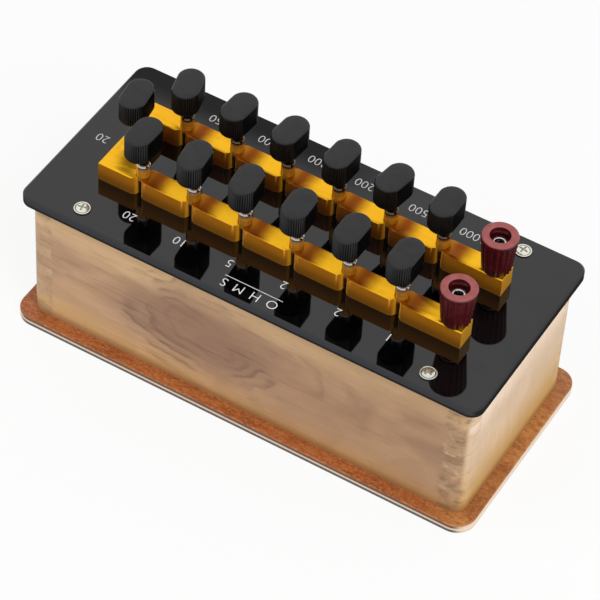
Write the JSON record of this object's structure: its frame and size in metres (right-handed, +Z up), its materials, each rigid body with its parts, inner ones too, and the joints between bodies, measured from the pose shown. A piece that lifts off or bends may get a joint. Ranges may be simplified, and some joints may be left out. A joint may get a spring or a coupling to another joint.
{
  "type": "resistance box",
  "caption": "Plug-type resistance box: comb-jointed wooden case, black panel, rows of brass blocks bridged by pull-out taper plugs, and screw terminals with sockets.",
  "frame": {"origin": "middle of the base board's underside, on the surface it stands on", "axes": "+X along the length towards the terminals, +Y across the rows towards the rear, +Z up"},
  "size_m": [0.2266, 0.1026, 0.1106],
  "materials": {
    "base_ply": "varnished plywood",
    "case_wood": "satin varnish",
    "panel_sheet": "polished black",
    "screw_steel": "zinc plated",
    "block_brass": "polished",
    "plated_pin": "nickel plated",
    "head_moulding": "satin black",
    "knob_moulding": "satin maroon",
    "bobbin_moulding": "waxed",
    "winding_wire": "enamelled wire",
    "lead_copper": "bare copper"
  },
  "bodies": {
    "case": {"base_board": "base_ply", "front_wall": "case_wood", "rear_wall": "case_wood", "left_wall": "case_wood", "right_wall": "case_wood", "top_panel": "panel_sheet", "panel_screws": "screw_steel", "base_screws": "screw_steel", "front_block_1": "block_brass", "front_block_2": "block_brass", "front_block_3": "block_brass", "front_block_4": "block_brass", "front_block_5": "block_brass", "front_block_6": "block_brass", "front_block_7": "block_brass", "rear_block_1": "block_brass", "rear_block_2": "block_brass", "rear_block_3": "block_brass", "rear_block_4": "block_brass", "rear_block_5": "block_brass", "rear_block_6": "block_brass", "rear_block_7": "block_brass", "front_terminal_stud": "plated_pin", "rear_terminal_stud": "plated_pin", "block_screws": "screw_steel", "coil_studs": "screw_steel", "coil_bobbins": "bobbin_moulding", "coil_windings": "winding_wire", "lead_wires": "lead_copper"},
    "front_plug_1": {"front_plug_1_pin": "plated_pin", "front_plug_1_head": "head_moulding"},
    "front_plug_2": {"front_plug_2_pin": "plated_pin", "front_plug_2_head": "head_moulding"},
    "front_plug_3": {"front_plug_3_pin": "plated_pin", "front_plug_3_head": "head_moulding"},
    "front_plug_4": {"front_plug_4_pin": "plated_pin", "front_plug_4_head": "head_moulding"},
    "front_plug_5": {"front_plug_5_pin": "plated_pin", "front_plug_5_head": "head_moulding"},
    "front_plug_6": {"front_plug_6_pin": "plated_pin", "front_plug_6_head": "head_moulding"},
    "rear_plug_1": {"rear_plug_1_pin": "plated_pin", "rear_plug_1_head": "head_moulding"},
    "rear_plug_2": {"rear_plug_2_pin": "plated_pin", "rear_plug_2_head": "head_moulding"},
    "rear_plug_3": {"rear_plug_3_pin": "plated_pin", "rear_plug_3_head": "head_moulding"},
    "rear_plug_4": {"rear_plug_4_pin": "plated_pin", "rear_plug_4_head": "head_moulding"},
    "rear_plug_5": {"rear_plug_5_pin": "plated_pin", "rear_plug_5_head": "head_moulding"},
    "rear_plug_6": {"rear_plug_6_pin": "plated_pin", "rear_plug_6_head": "head_moulding"},
    "left_plug": {"left_plug_pin": "plated_pin", "left_plug_head": "head_moulding"},
    "front_washer": {"front_terminal_washer": "plated_pin"},
    "front_knob": {"front_terminal_knob": "knob_moulding"},
    "rear_washer": {"rear_terminal_washer": "plated_pin"},
    "rear_knob": {"rear_terminal_knob": "knob_moulding"}
  },
  "joints": [
    {"name": "front_plug_1_pull", "type": "slide", "parent": "case", "child": "front_plug_1", "axis": [0, 0, 1], "range_m": [0, 0.025]},
    {"name": "front_plug_2_pull", "type": "slide", "parent": "case", "child": "front_plug_2", "axis": [0, 0, 1], "range_m": [0, 0.025]},
    {"name": "front_plug_3_pull", "type": "slide", "parent": "case", "child": "front_plug_3", "axis": [0, 0, 1], "range_m": [0, 0.025]},
    {"name": "front_plug_4_pull", "type": "slide", "parent": "case", "child": "front_plug_4", "axis": [0, 0, 1], "range_m": [0, 0.025]},
    {"name": "front_plug_5_pull", "type": "slide", "parent": "case", "child": "front_plug_5", "axis": [0, 0, 1], "range_m": [0, 0.025]},
    {"name": "front_plug_6_pull", "type": "slide", "parent": "case", "child": "front_plug_6", "axis": [0, 0, 1], "range_m": [0, 0.025]},
    {"name": "rear_plug_1_pull", "type": "slide", "parent": "case", "child": "rear_plug_1", "axis": [0, 0, 1], "range_m": [0, 0.025]},
    {"name": "rear_plug_2_pull", "type": "slide", "parent": "case", "child": "rear_plug_2", "axis": [0, 0, 1], "range_m": [0, 0.025]},
    {"name": "rear_plug_3_pull", "type": "slide", "parent": "case", "child": "rear_plug_3", "axis": [0, 0, 1], "range_m": [0, 0.025]},
    {"name": "rear_plug_4_pull", "type": "slide", "parent": "case", "child": "rear_plug_4", "axis": [0, 0, 1], "range_m": [0, 0.025]},
    {"name": "rear_plug_5_pull", "type": "slide", "parent": "case", "child": "rear_plug_5", "axis": [0, 0, 1], "range_m": [0, 0.025]},
    {"name": "rear_plug_6_pull", "type": "slide", "parent": "case", "child": "rear_plug_6", "axis": [0, 0, 1], "range_m": [0, 0.025]},
    {"name": "left_plug_pull", "type": "slide", "parent": "case", "child": "left_plug", "axis": [0, 0, 1], "range_m": [0, 0.025]},
    {"name": "front_washer_lift", "type": "slide", "parent": "case", "child": "front_washer", "axis": [0, 0, 1], "range_m": [0, 0.00305]},
    {"name": "front_knob_turn", "type": "hinge", "parent": "front_washer", "child": "front_knob", "pos_m": [0.082, -0.0172, 0.0862], "axis": [0, 0, 1], "range_deg": [0, 1440]},
    {"name": "rear_washer_lift", "type": "slide", "parent": "case", "child": "rear_washer", "axis": [0, 0, 1], "range_m": [0, 0.00305]},
    {"name": "rear_knob_turn", "type": "hinge", "parent": "rear_washer", "child": "rear_knob", "pos_m": [0.082, 0.0172, 0.0862], "axis": [0, 0, 1], "range_deg": [0, 1440]}
  ],
  "couplings": [
    {"joint": "front_washer_lift", "follows": "front_knob_turn", "m_per_rad": 0.00011937},
    {"joint": "rear_washer_lift", "follows": "rear_knob_turn", "m_per_rad": 0.00011937}
  ]
}
